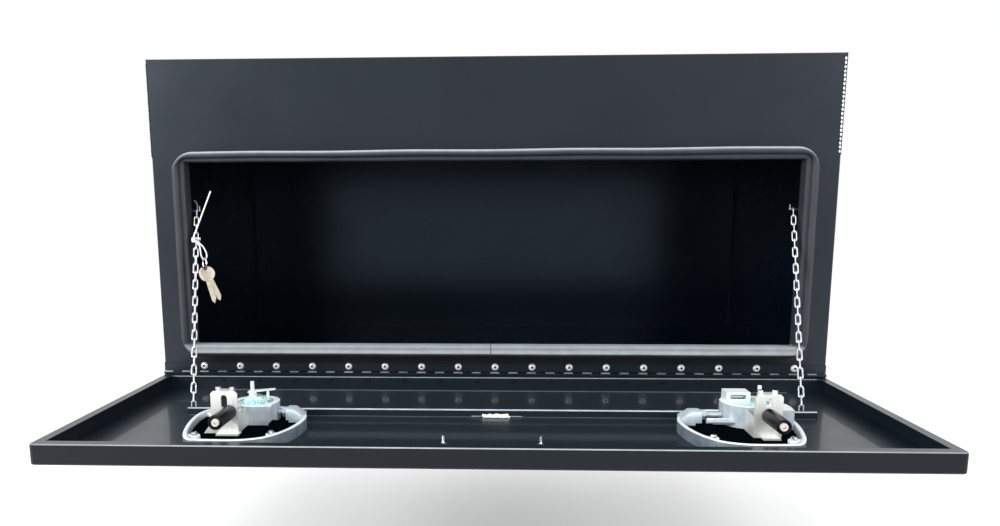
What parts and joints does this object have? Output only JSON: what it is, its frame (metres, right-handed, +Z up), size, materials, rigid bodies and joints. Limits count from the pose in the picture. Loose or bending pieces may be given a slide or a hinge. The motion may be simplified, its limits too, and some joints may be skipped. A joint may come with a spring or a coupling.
{
  "type": "undertray toolbox",
  "caption": "Black steel undertray toolbox with a drop-down door on a piano hinge, stay chains and two recessed locks, shown open.",
  "frame": {"origin": "middle of the top face, where the box is bolted up", "axes": "+X along the length to the right seen from the door, +Y from the door into the box, +Z up"},
  "size_m": [1.0018, 0.847, 0.5411],
  "materials": {
    "powder_black": "satin powder coat",
    "black_steel": "gloss black, pressed",
    "hinge_black": "thin black coat, worn on the knuckles",
    "weld_steel": "rippled weld",
    "rubber_seal": "matt rubber",
    "zinc_bright": "bright zinc plate",
    "rivet_steel": "dull zinc",
    "cast_zinc": "die-cast, as cast",
    "plated_plate": "blue zinc plate",
    "black_plastic": "black, gloss",
    "sleeve_black": "black, satin",
    "tie_white": "white nylon",
    "key_nickel": "warm nickel"
  },
  "bodies": {
    "box": {"shell_wrap": "powder_black", "side_panel_left": "powder_black", "side_panel_right": "powder_black", "front_frame": "powder_black", "corner_welds": "weld_steel", "inner_welds": "weld_steel", "opening_seal": "rubber_seal", "hinge_leaf_box": "hinge_black", "hinge_pin": "rivet_steel", "hinge_rivets_box": "rivet_steel", "chain_hooks": "zinc_bright"},
    "door": {"door_pan": "powder_black", "door_stiffener": "powder_black", "stiffener_weld": "weld_steel", "centre_bolts": "zinc_bright", "centre_nuts": "zinc_bright", "hinge_leaf_door": "hinge_black", "hinge_rivets_door": "rivet_steel", "chain_staples": "zinc_bright", "lock_screws": "zinc_bright", "plate_screws": "zinc_bright", "lock_ring_left": "cast_zinc", "lock_tray_left": "black_plastic", "lock_housing_left": "cast_zinc", "lock_cover_left": "plated_plate", "lock_spindle_left": "plated_plate", "lock_nut_left": "plated_plate", "lock_lever_left": "plated_plate", "lock_plate_left": "plated_plate", "lock_sleeve_left": "sleeve_black", "lock_shaft_left": "cast_zinc", "handle_pin_left": "rivet_steel", "lock_ring_right": "cast_zinc", "lock_tray_right": "black_plastic", "lock_housing_right": "cast_zinc", "lock_cover_right": "plated_plate", "lock_spindle_right": "plated_plate", "lock_nut_right": "plated_plate", "lock_lever_right": "plated_plate", "lock_plate_right": "plated_plate", "lock_sleeve_right": "sleeve_black", "lock_shaft_right": "cast_zinc", "handle_pin_right": "rivet_steel"},
    "handle_left": {"lock_handle_left": "black_plastic"},
    "plug_left": {"key_plug_left": "zinc_bright"},
    "bolt_left": {"lock_bolt_left": "plated_plate"},
    "chain_upper_left_run": {"chain_upper_left": "zinc_bright", "zip_tie": "tie_white", "key_ring": "zinc_bright"},
    "chain_lower_left_run": {"chain_lower_left": "zinc_bright"},
    "handle_right": {"lock_handle_right": "black_plastic"},
    "plug_right": {"key_plug_right": "zinc_bright"},
    "bolt_right": {"lock_bolt_right": "plated_plate"},
    "chain_upper_right_run": {"chain_upper_right": "zinc_bright"},
    "chain_lower_right_run": {"chain_lower_right": "zinc_bright"},
    "key_bunch": {"keys": "key_nickel"}
  },
  "joints": [
    {"name": "door_hinge", "type": "hinge", "parent": "box", "child": "door", "pos_m": [0, -0.2454, -0.462], "axis": [1, 0, 0], "range_deg": [-90, 0]},
    {"name": "handle_left_pull", "type": "hinge", "parent": "door", "child": "handle_left", "pos_m": [-0.3, -0.5365, -0.48705], "axis": [1, 0, 0], "range_deg": [0, 28]},
    {"name": "key_plug_left_turn", "type": "hinge", "parent": "handle_left", "child": "plug_left", "pos_m": [-0.3, -0.51354, -0.49926], "axis": [0, -0.4695, -0.8829], "range_deg": [0, 90]},
    {"name": "bolt_left_slide", "type": "slide", "parent": "door", "child": "bolt_left", "axis": [0, -1, 0], "range_m": [0, 0.022]},
    {"name": "handle_right_pull", "type": "hinge", "parent": "door", "child": "handle_right", "pos_m": [0.3026, -0.5365, -0.48705], "axis": [1, 0, 0], "range_deg": [0, 28]},
    {"name": "key_plug_right_turn", "type": "hinge", "parent": "handle_right", "child": "plug_right", "pos_m": [0.3026, -0.51354, -0.49926], "axis": [0, -0.4695, -0.8829], "range_deg": [0, 90]},
    {"name": "bolt_right_slide", "type": "slide", "parent": "door", "child": "bolt_right", "axis": [0, -1, 0], "range_m": [0, 0.022]},
    {"name": "chain_upper_left_swing", "type": "hinge", "parent": "box", "child": "chain_upper_left_run", "pos_m": [-0.4384, -0.2397, -0.217], "axis": [0.9683, 0.2498, 0], "range_deg": [0, 31.81]},
    {"name": "chain_lower_left_swing", "type": "hinge", "parent": "door", "child": "chain_lower_left_run", "pos_m": [-0.3995, -0.3905, -0.47], "axis": [-0.9655, 0.1298, -0.2258], "range_deg": [0, 30.38]},
    {"name": "chain_upper_right_swing", "type": "hinge", "parent": "box", "child": "chain_upper_right_run", "pos_m": [0.4384, -0.2397, -0.217], "axis": [0.9815, -0.1914, 0], "range_deg": [0, 31.47]},
    {"name": "chain_lower_right_swing", "type": "hinge", "parent": "door", "child": "chain_lower_right_run", "pos_m": [0.409, -0.3905, -0.47], "axis": [-0.9798, -0.0995, 0.1732], "range_deg": [0, 30.02]},
    {"name": "keys_swing", "type": "hinge", "parent": "chain_upper_left_run", "child": "key_bunch", "pos_m": [-0.41794, -0.27393, -0.3009], "axis": [0, 1, 0], "range_deg": [-10, 10]}
  ],
  "couplings": [
    {"joint": "bolt_left_slide", "follows": "handle_left_pull", "m_per_rad": 0.045018},
    {"joint": "bolt_right_slide", "follows": "handle_right_pull", "m_per_rad": 0.045018},
    {"joint": "chain_upper_left_swing", "follows": "door_hinge", "ratio": -0.35128},
    {"joint": "chain_lower_left_swing", "follows": "door_hinge", "ratio": -0.33537},
    {"joint": "chain_upper_right_swing", "follows": "door_hinge", "ratio": -0.34743},
    {"joint": "chain_lower_right_swing", "follows": "door_hinge", "ratio": -0.3313}
  ]
}
